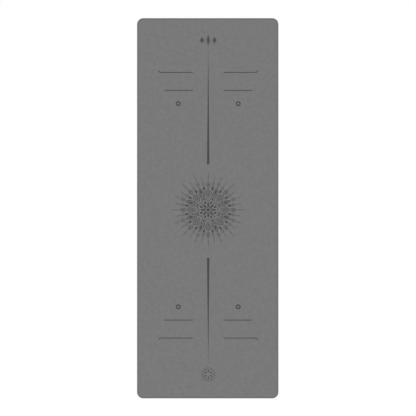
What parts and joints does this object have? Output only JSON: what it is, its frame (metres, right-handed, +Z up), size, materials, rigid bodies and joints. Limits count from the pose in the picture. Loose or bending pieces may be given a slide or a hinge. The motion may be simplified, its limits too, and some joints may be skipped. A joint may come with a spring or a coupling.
{
  "type": "yoga mat",
  "caption": "Long flat yoga mat with rounded corners, laid open: engraved polyurethane skin with centre line, hand and foot guides and a rosette, on cloth and rubber foam.",
  "frame": {"origin": "on the floor, under the middle of the mat", "axes": "+Y towards the head end, which is the top of the picture, +X across the mat and +Z up, out of the engraved side"},
  "size_m": [0.68, 1.83, 0.005],
  "materials": {
    "grip_skin": "matte grey polyurethane with a fine pebble grain",
    "engraving": "dark matte floor of the laser-engraved marks",
    "carrier_cloth": "charcoal non-woven polyester felt",
    "adhesive": "thin film of flexible laminating adhesive, seen only along the cut edge",
    "rubber_base": "black foamed natural rubber"
  },
  "bodies": {
    "root": {"grip_skin": "grip_skin", "carrier_cloth": "carrier_cloth", "rubber_base": "rubber_base"}
  },
  "joints": []
}
